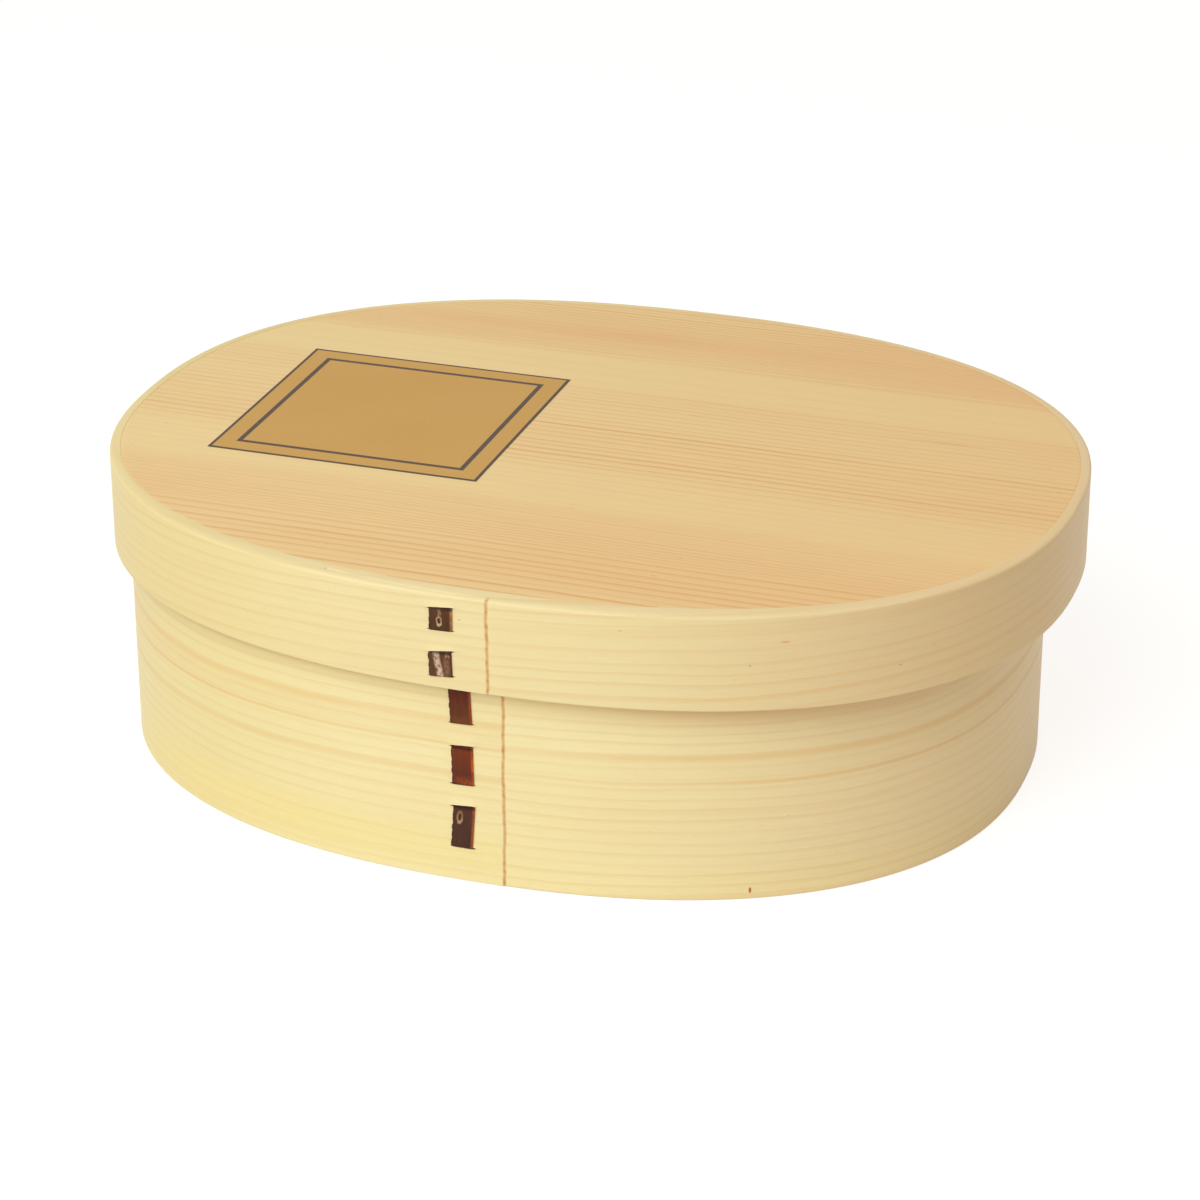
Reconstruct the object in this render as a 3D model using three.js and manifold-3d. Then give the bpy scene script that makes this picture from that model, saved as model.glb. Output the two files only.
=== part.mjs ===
// An oval bentwood lunch box with a loose lid, in millimetres, +Z up.
// Two thin strips of wood are bent round into ovals, lapped at the front and sewn with cherry bark.
// Each strip holds an oval board: the body's bottom and the lid's top. A loose board parts the food.
// The origin is under the middle of the lid, on the surface that the box stands on.

import * as THREE from 'three';
import { mergeVertices } from 'three/addons/utils/BufferGeometryUtils.js';
import Module from 'manifold-3d';

const wasm = await Module();
wasm.setup();

// Driving sizes of the whole box
const lidHalfLength = 87.5;
const lidHalfWidth = 69.65;
const overallHeight = 54.3;
const skirtHeight = 17.2;

// The oval is |x/a|^p + |y/b|^p = 1, a little fuller than an ellipse
const ovalPower = 2.3;
const ovalSegments = 112;

// Stock thicknesses
const lidWall = 2;
const bodyWall = 2.2;
const lidBoardThickness = 4.6;
const baseBoardThickness = 4.6;
const edgeRadius = 0.6;
const edgeSteps = 2;

// The lid is loose on the body: its play on each side, and the share of it that the lid is pushed over
const lidPlayLengthways = 3;
const lidPlayAcross = 1.05;
const lidPushShare = 0.6;

// Fits
const glueLine = 0.3;
const boardPlay = 0.15;
const lidBoardRecess = 0.2;
const cutOverrun = 1;

// The lap, where the strip's ends overlap: its length, and how thick the pared tips are left
const lapLength = 30;
const lapTip = 0.5;
const lapSteps = 12;
const lidSeamX = 4.05;
const bodySeamX = 7.6;

// The bark strip and the slits that it is threaded through
const barkThickness = 0.45;
const barkBendRadius = 0.45;
const barkBendSteps = 3;
const barkSeat = 0.15;
const slitSidePlay = 0.3;
const slitHeight = 1;
const lidBarkWidth = 4.1;
const lidBarkX = -3.95;
const bodyBarkWidth = 3.9;
const bodyBarkX = 0.3;
const tailShare = 0.45;

// Where the lacing starts and ends up the wall, and where its slits lie between those two heights
const bodyLaceFoot = 6.4;
const bodyLaceHead = 0.4;
const bodySlitShares = [0, 0.257, 0.389, 0.63, 0.772, 1];
const lidLaceFoot = 1.8;
const lidLaceHead = 2.4;
const lidSlitShares = [0, 0.385, 0.662, 1];

// The paper label on the lid, and how far it is stuck from the lid's left end
const labelSide = 51;
const labelThickness = 0.25;
const labelEndMargin = 22.05;
const labelY = 1.55;

// The loose divider, and the room that it leaves on its right
const smallCompartmentLength = 60.8;
const dividerThickness = 3;
const dividerHeadroom = 3;
const dividerPlay = 0.4;
const dividerCornerRadius = 6;
const curveSegments = 6;

// Sizes that follow from the ones above
const skirtFoot = overallHeight - skirtHeight;
const lidBoardTop = overallHeight - lidBoardRecess;
const bodyHeight = lidBoardTop - lidBoardThickness;
const bodyHalfLength = lidHalfLength - lidWall - lidPlayLengthways;
const bodyHalfWidth = lidHalfWidth - lidWall - lidPlayAcross;
const barkProud = barkSeat + barkThickness;
const labelX = labelEndMargin + labelSide / 2 - lidHalfLength;
const dividerX = bodyHalfLength - bodyWall - smallCompartmentLength - dividerThickness / 2;

const paleWood = 0xecd6a0;
const boardWood = 0xe2bf86;
const insideWood = 0xe6cb97;
const cherryBark = 0x6a3a28;
const kraftPaper = 0xc8a05a;

function material(colour, roughness) {
  return new THREE.MeshStandardMaterial({ color: colour, roughness, metalness: 0 });
}

function piece(name, geometry, colour, roughness) {
  const mesh = new THREE.Mesh(geometry, material(colour, roughness));
  mesh.name = name;
  return mesh;
}

// Solids for joining and cutting

function toSolid(geometry) {
  const bare = geometry.clone();
  bare.deleteAttribute('normal');
  bare.deleteAttribute('uv');
  const merged = mergeVertices(bare);
  return new wasm.Manifold(new wasm.Mesh({
    numProp: 3,
    vertProperties: new Float32Array(merged.attributes.position.array),
    triVerts: new Uint32Array(merged.index.array),
  }));
}

function toGeometry(solid) {
  const mesh = solid.getMesh();
  const geometry = new THREE.BufferGeometry();
  geometry.setAttribute('position', new THREE.BufferAttribute(mesh.vertProperties, 3));
  geometry.setIndex(new THREE.BufferAttribute(mesh.triVerts, 1));
  geometry.computeVertexNormals();
  return geometry;
}

function cut(solid, cutters) {
  return cutters.reduce((left, cutter) => left.subtract(toSolid(cutter)), solid);
}

// The oval outline and what is offset from it

// A point of the oval, moved square to it towards the inside by depth.
function inset(x, y, halfLength, halfWidth, depth) {
  const slopeX = Math.sign(x) * Math.abs(x / halfLength) ** (ovalPower - 1) / halfLength;
  const slopeY = Math.sign(y) * Math.abs(y / halfWidth) ** (ovalPower - 1) / halfWidth;
  const slope = Math.hypot(slopeX, slopeY);
  return new THREE.Vector2(x - depth * slopeX / slope, y - depth * slopeY / slope);
}

function ovalPoints(halfLength, halfWidth, depth) {
  const points = [];
  for (let i = 0; i < ovalSegments; i += 1) {
    const angle = 2 * Math.PI * i / ovalSegments;
    const alongShare = Math.abs(Math.cos(angle) / halfLength) ** ovalPower;
    const acrossShare = Math.abs(Math.sin(angle) / halfWidth) ** ovalPower;
    const radius = (alongShare + acrossShare) ** (-1 / ovalPower);
    points.push(inset(radius * Math.cos(angle), radius * Math.sin(angle), halfLength, halfWidth, depth));
  }
  return points;
}

// A point on the front of the oval at x, moved inwards by depth.
function frontPoint(x, oval, depth) {
  const y = -oval.halfWidth * (1 - Math.abs(x / oval.halfLength) ** ovalPower) ** (1 / ovalPower);
  return inset(x, y, oval.halfLength, oval.halfWidth, depth);
}

// A shape extruded upwards from foot to head, with its rims rounded.
function upright(shape, foot, head, radius) {
  const geometry = new THREE.ExtrudeGeometry(shape, {
    depth: head - foot - 2 * radius,
    bevelEnabled: radius > 0,
    bevelThickness: radius,
    bevelSize: radius,
    bevelOffset: -radius,
    bevelSegments: edgeSteps,
  });
  return geometry.translate(0, 0, foot + radius);
}

function ovalBoard(oval, foot, head, radius) {
  const shape = new THREE.Shape(ovalPoints(oval.halfLength, oval.halfWidth, oval.wall + boardPlay));
  return upright(shape, foot, head, radius);
}

// The band: a bent strip with a lap at the front, and slits for its lacing

// The thin Z-shaped gap between the lap's faces. It comes in from outside at the seam, slants through the
// wall along the lap, and leaves on the inside at the other tip.
function lapGap(oval, seamX, foot, head) {
  const half = glueLine / 2;
  const innerX = seamX - lapLength;
  const outline = [frontPoint(seamX + half, oval, -cutOverrun)];
  for (let i = 0; i <= lapSteps; i += 1) {
    const depth = lapTip + (oval.wall - 2 * lapTip) * i / lapSteps;
    outline.push(frontPoint(seamX + half - lapLength * i / lapSteps, oval, depth + half));
  }
  outline.push(frontPoint(innerX + half, oval, oval.wall + cutOverrun));
  outline.push(frontPoint(innerX - half, oval, oval.wall + cutOverrun));
  for (let i = lapSteps; i >= 0; i -= 1) {
    const depth = lapTip + (oval.wall - 2 * lapTip) * i / lapSteps;
    outline.push(frontPoint(seamX - half - lapLength * i / lapSteps, oval, depth - half));
  }
  outline.push(frontPoint(seamX - half, oval, -cutOverrun));
  return upright(new THREE.Shape(outline), foot - cutOverrun, head + cutOverrun, 0);
}

// The slits go straight through the wall. Between them, on the inside, a shallow channel takes the bark.
function lacingCuts(oval, lace) {
  const width = lace.width + 2 * slitSidePlay;
  const outsideY = -oval.halfWidth;
  const cutters = lace.slits.map((height) => {
    const slit = new THREE.BoxGeometry(width, oval.wall + 2 * cutOverrun, slitHeight);
    return slit.translate(lace.x, outsideY + oval.wall / 2, height);
  });
  const low = lace.slits[0] - slitHeight / 2;
  const high = lace.slits[lace.slits.length - 1] + slitHeight / 2;
  const channelFloor = outsideY + oval.wall - barkProud;
  const channel = new THREE.BoxGeometry(width, barkProud + cutOverrun, high - low);
  channel.translate(lace.x, channelFloor + (barkProud + cutOverrun) / 2, (low + high) / 2);
  cutters.push(channel);
  return cutters;
}

function bentBand(oval, seamX, foot, head, lace) {
  const shape = new THREE.Shape(ovalPoints(oval.halfLength, oval.halfWidth, 0));
  shape.holes.push(new THREE.Path(ovalPoints(oval.halfLength, oval.halfWidth, oval.wall)));
  const ring = toSolid(upright(shape, foot, head, edgeRadius));
  return toGeometry(cut(ring, [lapGap(oval, seamX, foot, head), ...lacingCuts(oval, lace)]));
}

// The lacing: one flat strip of bark in a running stitch, in a plane square to the wall

function roundCorners(corners, radius) {
  const points = [corners[0]];
  for (let i = 1; i < corners.length - 1; i += 1) {
    const into = corners[i].clone().sub(corners[i - 1]).normalize();
    const away = corners[i + 1].clone().sub(corners[i]).normalize();
    const centre = corners[i].clone().addScaledVector(into, -radius).addScaledVector(away, radius);
    for (let step = 0; step <= barkBendSteps; step += 1) {
      const turn = Math.PI / 2 * step / barkBendSteps;
      const point = centre.clone();
      point.addScaledVector(away, -radius * Math.cos(turn));
      point.addScaledVector(into, radius * Math.sin(turn));
      points.push(point);
    }
  }
  points.push(corners[corners.length - 1]);
  return points;
}

// Stands a shape drawn in Y and Z upright, and gives it a width along X.
function acrossX(shape, x, width) {
  const geometry = new THREE.ExtrudeGeometry(shape, { depth: width, bevelEnabled: false, curveSegments });
  const towardsX = new THREE.Vector3(1, 0, 0);
  const towardsY = new THREE.Vector3(0, 1, 0);
  const towardsZ = new THREE.Vector3(0, 0, 1);
  geometry.applyMatrix4(new THREE.Matrix4().makeBasis(towardsY, towardsZ, towardsX));
  return geometry.translate(x - width / 2, 0, 0);
}

// The outline of a strip of even thickness along a line of points.
function stripOutline(points, thickness) {
  const sides = [[], []];
  points.forEach((point, i) => {
    const before = points[Math.max(i - 1, 0)];
    const after = points[Math.min(i + 1, points.length - 1)];
    const into = (i > 0 ? point.clone().sub(before) : after.clone().sub(point)).normalize();
    const away = (i < points.length - 1 ? after.clone().sub(point) : into.clone()).normalize();
    const along = into.clone().add(away).normalize();
    const reach = thickness / 2 / along.dot(into);
    const side = new THREE.Vector2(-along.y, along.x).multiplyScalar(reach);
    sides[0].push(point.clone().add(side));
    sides[1].push(point.clone().sub(side));
  });
  return new THREE.Shape([...sides[0], ...sides[1].reverse()]);
}

function barkLacing(oval, lace) {
  const outsideY = -oval.halfWidth - barkSeat - barkThickness / 2;
  const insideY = -oval.halfWidth + oval.wall - barkThickness / 2;
  const { slits } = lace;
  const last = slits.length - 1;
  const corners = [new THREE.Vector2(insideY, slits[0] + tailShare * (slits[1] - slits[0]))];
  slits.forEach((height, i) => {
    const [from, to] = i % 2 === 0 ? [insideY, outsideY] : [outsideY, insideY];
    corners.push(new THREE.Vector2(from, height), new THREE.Vector2(to, height));
  });
  corners.push(new THREE.Vector2(insideY, slits[last] - tailShare * (slits[last] - slits[last - 1])));
  return acrossX(stripOutline(roundCorners(corners, barkBendRadius), barkThickness), lace.x, lace.width);
}

function slitHeights(foot, head, shares) {
  return shares.map((share) => foot + (head - foot) * share);
}

// The body

const bodyOval = { halfLength: bodyHalfLength, halfWidth: bodyHalfWidth, wall: bodyWall };
const bodyLace = {
  x: bodyBarkX,
  width: bodyBarkWidth,
  slits: slitHeights(bodyLaceFoot, skirtFoot - bodyLaceHead, bodySlitShares),
};

const body = new THREE.Group();
body.position.set(-lidPlayLengthways * lidPushShare, -lidPlayAcross * lidPushShare, 0);
const bodyBand = bentBand(bodyOval, bodySeamX, 0, bodyHeight, bodyLace);
body.add(piece('body_band', bodyBand, paleWood, 0.62));
body.add(piece('base_board', ovalBoard(bodyOval, 0, baseBoardThickness, 0), insideWood, 0.62));
body.add(piece('body_bark_lacing', barkLacing(bodyOval, bodyLace), cherryBark, 0.35));

// The divider stands across the body on the base board. Its ends follow the wall.

function dividerBoard() {
  const foot = baseBoardThickness;
  const head = bodyHeight - dividerHeadroom;
  const reach = Math.abs(frontPoint(dividerX, bodyOval, bodyWall + dividerPlay).y);
  const cornerY = reach - dividerCornerRadius;
  const cornerZ = head - dividerCornerRadius;
  const shape = new THREE.Shape();
  shape.moveTo(-bodyHalfWidth, foot);
  shape.lineTo(bodyHalfWidth, foot);
  shape.lineTo(bodyHalfWidth, cornerZ);
  shape.lineTo(reach, cornerZ);
  shape.absarc(cornerY, cornerZ, dividerCornerRadius, 0, Math.PI / 2);
  shape.absarc(-cornerY, cornerZ, dividerCornerRadius, Math.PI / 2, Math.PI);
  shape.lineTo(-bodyHalfWidth, cornerZ);
  const inside = new THREE.Shape(ovalPoints(bodyHalfLength, bodyHalfWidth, bodyWall + dividerPlay));
  const room = upright(inside, foot - cutOverrun, head + cutOverrun, 0);
  return toGeometry(toSolid(acrossX(shape, dividerX, dividerThickness)).intersect(toSolid(room)));
}

body.add(piece('divider', dividerBoard(), insideWood, 0.62));

// The lid

const lidOval = { halfLength: lidHalfLength, halfWidth: lidHalfWidth, wall: lidWall };
const lidLace = {
  x: lidBarkX,
  width: lidBarkWidth,
  slits: slitHeights(skirtFoot + lidLaceFoot, overallHeight - lidLaceHead, lidSlitShares),
};

const lid = new THREE.Group();
const lidBand = bentBand(lidOval, lidSeamX, skirtFoot, overallHeight, lidLace);
lid.add(piece('lid_band', lidBand, paleWood, 0.62));
lid.add(piece('lid_board', ovalBoard(lidOval, bodyHeight, lidBoardTop, 0), boardWood, 0.6));
lid.add(piece('lid_bark_lacing', barkLacing(lidOval, lidLace), cherryBark, 0.35));

const label = new THREE.BoxGeometry(labelSide, labelSide, labelThickness);
label.translate(labelX, labelY, lidBoardTop + labelThickness / 2);
lid.add(piece('lid_label', label, kraftPaper, 0.55));

// The box, set so that the lid with its stitches is centred on the origin

const lunchBox = new THREE.Group();
lunchBox.position.y = barkProud / 2;
lunchBox.add(body, lid);

export default lunchBox;
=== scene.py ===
import math

import bmesh
import bpy
import numpy as np
from mathutils import Matrix, Vector


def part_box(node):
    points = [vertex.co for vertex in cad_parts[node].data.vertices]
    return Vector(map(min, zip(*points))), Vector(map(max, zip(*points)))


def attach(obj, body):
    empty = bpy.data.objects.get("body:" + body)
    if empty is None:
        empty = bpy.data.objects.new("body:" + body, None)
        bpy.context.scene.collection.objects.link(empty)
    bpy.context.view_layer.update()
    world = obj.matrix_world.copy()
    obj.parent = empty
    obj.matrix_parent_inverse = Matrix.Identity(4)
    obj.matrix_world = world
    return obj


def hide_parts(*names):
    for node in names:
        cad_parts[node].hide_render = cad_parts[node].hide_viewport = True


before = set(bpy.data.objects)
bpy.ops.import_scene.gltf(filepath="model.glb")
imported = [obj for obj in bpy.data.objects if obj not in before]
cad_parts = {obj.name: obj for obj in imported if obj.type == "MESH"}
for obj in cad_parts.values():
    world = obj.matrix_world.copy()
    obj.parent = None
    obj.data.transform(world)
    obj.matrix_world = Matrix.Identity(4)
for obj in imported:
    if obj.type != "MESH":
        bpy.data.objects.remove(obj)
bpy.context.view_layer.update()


# Body wall
# One strip of pale straight-grained softwood 2.2 mm thick, steamed and bent round into an oval. Its two
# ends are pared to thin tips and lapped at the front, glued, and slit through for the bark stitches. All
# lengths here are millimetres; a piece is turned to metres when it is done.

MILLIMETRES = 1000
CLOSE = 0.001
OVAL_POWER = 2.3
OUTLINE_STEPS = 7200
BEND_STEPS = 260
LAP_LENGTH = 30
LAP_TIP = 0.5
LAP_CUT = 0.05
SEAM_GAP = 0.008
GLUE_LINE = 0.15
SEAM_REACH = 3
SEAM_CUTS = (0.4, 1.2)
SEAM_TIP_CUT = 0.02
SEAM_STEP = 1.1
SEAM_WANDER = 0.08
RIM_STEPS = 4
RIM_REST = 0.4
HEAD_CUTS = (0.9, 1.2, 1.6)
CROWN_REACH = 1.9
LEDGE = 0.3
SLIT_NEAR = 0.16
SLIT_BELOW = 0.16
SLIT_ABOVE = 0.26
SLIT_TAPER = 0.7
SLIT_TIP = 0.03
SLIT_PLAY = 0.5
SLIT_SIDE_CUTS = (0.5, 1.5)
SLIT_EDGE_CUTS = (0.5, 1.2)
LEAN_REACH = 1
CHANNEL_DEPTH = 0.5
LOWER_LIP = 0.06
UPPER_LIP = 0.26
LIP_REACH = 0.8
LIP_SIDE = 0.6
LACING_HALF = 0.225
CREASE_ANGLE = math.radians(32)

BAND_YEAR = 2.05
ROSY_FROM = (190, 330)
ROSY_END = 85
YELLOW_FROM = (20, 65)
YELLOW_TO = (150, 230)
FADE_END = (40, 10)

BODY_WALL = 2.2
BODY_ROUNDS = (0.3, 0.4, 0.8, 0.6)
BODY_HEAD_CUT = 2
BODY_SEAM_X = 5.8
BODY_SLIT_SHARES = [0, 0.257, 0.395, 0.63, 0.772, 1]
BODY_SLIT_LEANS = [0.0, 0.07, 0.03, 0.06, 0.03, 0.0]
BODY_GRAIN_RISE = 3.8
BODY_GRAIN_STRENGTH = 0.34


def corners(node):
    """A CAD node's lowest and highest corners, in millimetres."""
    low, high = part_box(node)
    return low * MILLIMETRES, high * MILLIMETRES


class Outline:
    """A bent strip's outer outline, followed from the seam at the front round the left end and the back."""

    def __init__(self, node, wall, seam_x, extras=(0, 0, 0)):
        low, high = corners(node)
        self.wall = wall
        self.front_extra, self.side_extra, self.back_extra = extras
        self.half_length = (high.x - low.x) / 2
        self.half_width = (high.y - low.y) / 2
        self.middle = (low + high) / 2
        self.turned = np.linspace(0, 2 * math.pi, OUTLINE_STEPS + 1)
        self.start = self.front_angle(seam_x)
        turns = self.start - self.turned
        along = np.abs(np.cos(turns) / self.half_length) ** OVAL_POWER
        across = np.abs(np.sin(turns) / self.half_width) ** OVAL_POWER
        radius = (along + across) ** (-1 / OVAL_POWER)
        self.x = radius * np.cos(turns)
        self.y = radius * np.sin(turns)
        self.run = np.concatenate(([0], np.cumsum(np.hypot(np.diff(self.x), np.diff(self.y)))))
        self.round = float(self.run[-1])

    def front_angle(self, x):
        x = x - self.middle.x
        y = -self.half_width * (1 - abs(x / self.half_length) ** OVAL_POWER) ** (1 / OVAL_POWER)
        return math.atan2(y, x)

    def run_at(self, x):
        """How far along the strip the front is that has this x."""
        return float(np.interp(self.start - self.front_angle(x), self.turned, self.run))

    def around(self, run):
        """The outline's point at a run, from its middle, and the way that it faces there."""
        x = float(np.interp(run % self.round, self.run, self.x))
        y = float(np.interp(run % self.round, self.run, self.y))
        outward = Vector((
            math.copysign(abs(x / self.half_length) ** (OVAL_POWER - 1), x) / self.half_length,
            math.copysign(abs(y / self.half_width) ** (OVAL_POWER - 1), y) / self.half_width,
        ))
        return x, y, outward.normalized()

    def place(self, run, depth):
        """The point at a run along the outline, moved in square to it."""
        x, y, outward = self.around(run)
        return self.middle.x + x - depth * outward.x, self.middle.y + y - depth * outward.y

    def extra(self, run):
        """How much thicker the wall is beside the board that is let into it."""
        outward = self.around(run)[2]
        at_side = self.side_extra * outward.x ** 2
        if outward.y < 0:
            return at_side + self.front_extra * outward.y ** 4
        return at_side + self.back_extra * outward.y ** 2


def saw(mesh, place, square_to, within=None):
    """Cuts the faces along a plane, without parting them."""
    faces = [face for face in mesh.faces if within is None or within(face.calc_center_median())]
    edges = {edge for face in faces for edge in face.edges}
    verts = {vert for face in faces for vert in face.verts}
    bmesh.ops.bisect_plane(mesh, geom=[*faces, *edges, *verts], plane_co=place, plane_no=square_to)


def lengthwise(mesh):
    """The edges that run along the first axis."""
    edges = []
    for edge in mesh.edges:
        way = edge.verts[1].co - edge.verts[0].co
        if abs(way.x) > 0.99 * way.length:
            edges.append(edge)
    return edges


def straight_plank(length, thickness, foot, head, rounds, steps):
    """A straight plank along +X, its outer face at Y = 0. Its long edges are rounded by the four radii,
    which are those of the outer foot, the inner foot, the outer head and the inner head."""
    mesh = bmesh.new()
    bmesh.ops.create_cube(mesh, size=1)
    bmesh.ops.scale(mesh, vec=(length, thickness, head - foot), verts=mesh.verts)
    bmesh.ops.translate(mesh, vec=(length / 2, thickness / 2, (foot + head) / 2), verts=mesh.verts)
    arrises = [Vector((0, y, z)) for z in (foot, head) for y in (0, thickness)]
    for arris, edge_round in zip(arrises, rounds):
        edges = [edge for edge in lengthwise(mesh) if (edge.verts[0].co.yz - arris.yz).length < CLOSE]
        bmesh.ops.bevel(
            mesh, geom=edges, offset=edge_round, offset_type="OFFSET", segments=RIM_STEPS,
            profile=0.5, affect="EDGES", material=-1,
        )
    bmesh.ops.subdivide_edges(mesh, edges=lengthwise(mesh), cuts=steps - 1, use_grid_fill=True)
    return mesh


def seam_wander(height, seed):
    """The pared tip's edge isn't quite straight."""
    slow = math.sin(height * 0.31 + seed) + 0.6 * math.sin(height * 0.83 + 2.1 * seed)
    return SEAM_WANDER * (slow + 0.5 * math.sin(height * 2.3 + 3.7 * seed))


def bent_strip(outline, foot, head, slits, rounds, board_foot, crown, seed):
    """A plank with pared ends, slit for its stitches and bent round the outline with its ends lapped. Its
    upper rim is crowned where it faces the front, and its thickness varies above the board's foot."""
    lap_end = outline.round + LAP_LENGTH
    plank = straight_plank(lap_end, outline.wall, foot, head, rounds, BEND_STEPS)
    flat_foot, flat_head = foot + rounds[0], head - rounds[2]
    lowest, highest = slits[0][0], slits[-1][1]
    slit_start, slit_end = outline.run_at(slits[0][3]), outline.run_at(slits[0][2])

    def by_lap(centre):
        return centre.x < LAP_LENGTH + SEAM_REACH or centre.x > outline.round - SEAM_REACH

    def by_seam(centre):
        return centre.x < SEAM_REACH or abs(centre.x - outline.round) < SEAM_REACH

    def by_head(centre):
        return centre.z > head - 0.01

    for level in (flat_foot + RIM_REST, flat_head - RIM_REST, board_foot, board_foot + LEDGE):
        saw(plank, (0, 0, level), (0, 0, 1))
    for depth in HEAD_CUTS:
        saw(plank, (0, depth, 0), (0, 1, 0), by_head)
    near, far = SEAM_CUTS
    for run in (near, far, SEAM_REACH, LAP_LENGTH - LAP_CUT, LAP_LENGTH + LAP_CUT):
        saw(plank, (run, 0, 0), (1, 0, 0))
        saw(plank, (outline.round + run - LAP_LENGTH * (run > SEAM_REACH), 0, 0), (1, 0, 0))
    for run in (-SEAM_REACH, -far, -near, -SEAM_TIP_CUT, SEAM_TIP_CUT, SEAM_REACH):
        saw(plank, (outline.round + run, 0, 0), (1, 0, 0))
    near, far = SLIT_SIDE_CUTS
    for start in (0, outline.round):
        for run in (slit_start - far, slit_start - near, slit_end + near, slit_end + far):
            saw(plank, (start + run, 0, 0), (1, 0, 0), by_lap)
        for inset in (0, SLIT_TAPER / 2, SLIT_TAPER):
            for run in (slit_start + inset, slit_end - inset):
                saw(plank, (start + run, 0, 0), (1, 0, 0), by_lap)
    near, far = SLIT_EDGE_CUTS
    for low, high, *_ in slits:
        for level in (low - far, low - near, low, high, high + near, high + far):
            if flat_foot < level < flat_head:
                saw(plank, (0, 0, level), (0, 0, 1), by_lap)
    for level in np.arange(flat_foot + SEAM_STEP, flat_head, SEAM_STEP):
        saw(plank, (0, 0, level), (0, 0, 1), by_seam)

    # A shallow channel on the inside takes the bark between the slits
    start = outline.round
    channel = []
    for face in plank.faces:
        centre = face.calc_center_median()
        inside = face.normal.y > 0.9 and lowest < centre.z < highest
        if inside and start + slit_start < centre.x < start + slit_end:
            channel.append(face)
    grown = bmesh.ops.extrude_face_region(plank, geom=channel)["geom"]
    bmesh.ops.delete(plank, geom=[face for face in channel if face.is_valid], context="FACES_ONLY")
    floor = [item for item in grown if isinstance(item, bmesh.types.BMVert)]
    bmesh.ops.translate(plank, vec=(0, -CHANNEL_DEPTH, 0), verts=floor)

    # The slits go straight through both lapped ends
    for start in (0, outline.round):
        for low, high, *_ in slits:
            opening = []
            for face in plank.faces:
                centre = face.calc_center_median()
                upright = abs(face.normal.y) > 0.9
                if upright and low < centre.z < high and slit_start < centre.x - start < slit_end:
                    opening.append(face)
            bmesh.ops.delete(plank, geom=opening, context="FACES")
            edges = [edge for edge in plank.edges if edge.is_boundary]
            bmesh.ops.bridge_loops(plank, edges=edges)

    strip_place = plank.verts.layers.float_vector.new("strip")
    pared = outline.wall - 2 * LAP_TIP
    for vert in plank.verts:
        run, depth, height = vert.co
        if run < LAP_LENGTH:
            depth *= (LAP_TIP - GLUE_LINE / 2 + pared * run / LAP_LENGTH) / outline.wall
        if run > outline.round:
            outer = LAP_TIP + GLUE_LINE / 2 + pared * (run - outline.round) / LAP_LENGTH
            depth = outer + depth * (outline.wall - outer) / outline.wall
        lift = 0
        level = height
        from_middle = (slit_start + slit_end) / 2 - run % outline.round
        from_end = (slit_end - slit_start) / 2 - abs(from_middle)
        for i, (low, high, _, _, lean) in enumerate(slits):
            # Each slit narrows to a point at both ends, and is cut a little askew
            off = level - (low + high) / 2
            if min(abs(level - low), abs(level - high)) < CLOSE and from_end > -0.01:
                narrowed = max(min(max(from_end, 0) / SLIT_TAPER, 1), SLIT_TIP)
                height = (low + high) / 2 + narrowed * off
            off = max(abs(off) - (high - low) / 2, 0) / LEAN_REACH
            aside = min(from_end, 0) / LEAN_REACH
            height += lean * from_middle * math.exp(-off ** 2 - aside ** 2)
            # The wood stands up a little beyond each slit, where the bark pushes it out
            beyond = level - high if i % 2 else low - level
            if beyond > -CLOSE:
                lip = UPPER_LIP if i % 2 else LOWER_LIP
                off_side = max(SLIT_TAPER - from_end, 0) / LIP_SIDE
                lift = max(lift, lip * math.exp(-off_side ** 2 - (beyond / LIP_REACH) ** 2))
        by_board = min(max((level - board_foot) / LEDGE, 0), 1)
        inmost = max(depth - outline.wall + CHANNEL_DEPTH, 0) / CHANNEL_DEPTH
        if by_board * inmost > 0:
            depth += outline.extra(run) * by_board * inmost
        if level > flat_head:
            frontward = 0.5 - 0.5 * outline.around(run)[2].y
            rubbed = crown * frontward * max(1 - depth / CROWN_REACH, 0) ** 2
            height -= rubbed * (level - flat_head) / (head - flat_head)
        if run < LAP_LENGTH:
            depth -= lift
        vert[strip_place] = (run, depth, height)
        nearness = max(0, 1 - min(run, abs(run - outline.round)) / SEAM_REACH)
        shift = nearness * seam_wander(height, seed)
        gap = SEAM_GAP / 2 * nearness * (1 if run < SEAM_REACH else -1 if run < outline.round else 1)
        x, y = outline.place(run + shift + gap, depth)
        vert.co = (x, y, height)
    bmesh.ops.recalc_face_normals(plank, faces=plank.faces)
    return plank


def set_down(mesh, name, node, body, material):
    """Turns a finished mesh into a piece of the scene, in metres, that stands for its CAD node."""
    bmesh.ops.scale(mesh, vec=(1 / MILLIMETRES,) * 3, verts=mesh.verts)
    data = bpy.data.meshes.new(name)
    mesh.to_mesh(data)
    mesh.free()
    data.polygons.foreach_set("use_smooth", [True] * len(data.polygons))
    data.set_sharp_from_angle(angle=CREASE_ANGLE)
    data.materials.append(material)
    piece = bpy.data.objects.new(name, data)
    bpy.context.scene.collection.objects.link(piece)
    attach(piece, body)
    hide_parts(node)
    return piece


def colour(red, green, blue):
    """A colour as a screen shows it, 0 to 255, turned to the light that it stands for."""
    shares = [value / 255 for value in (red, green, blue)]
    return (*[s / 12.92 if s <= 0.04045 else ((s + 0.055) / 1.055) ** 2.4 for s in shares], 1)


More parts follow.
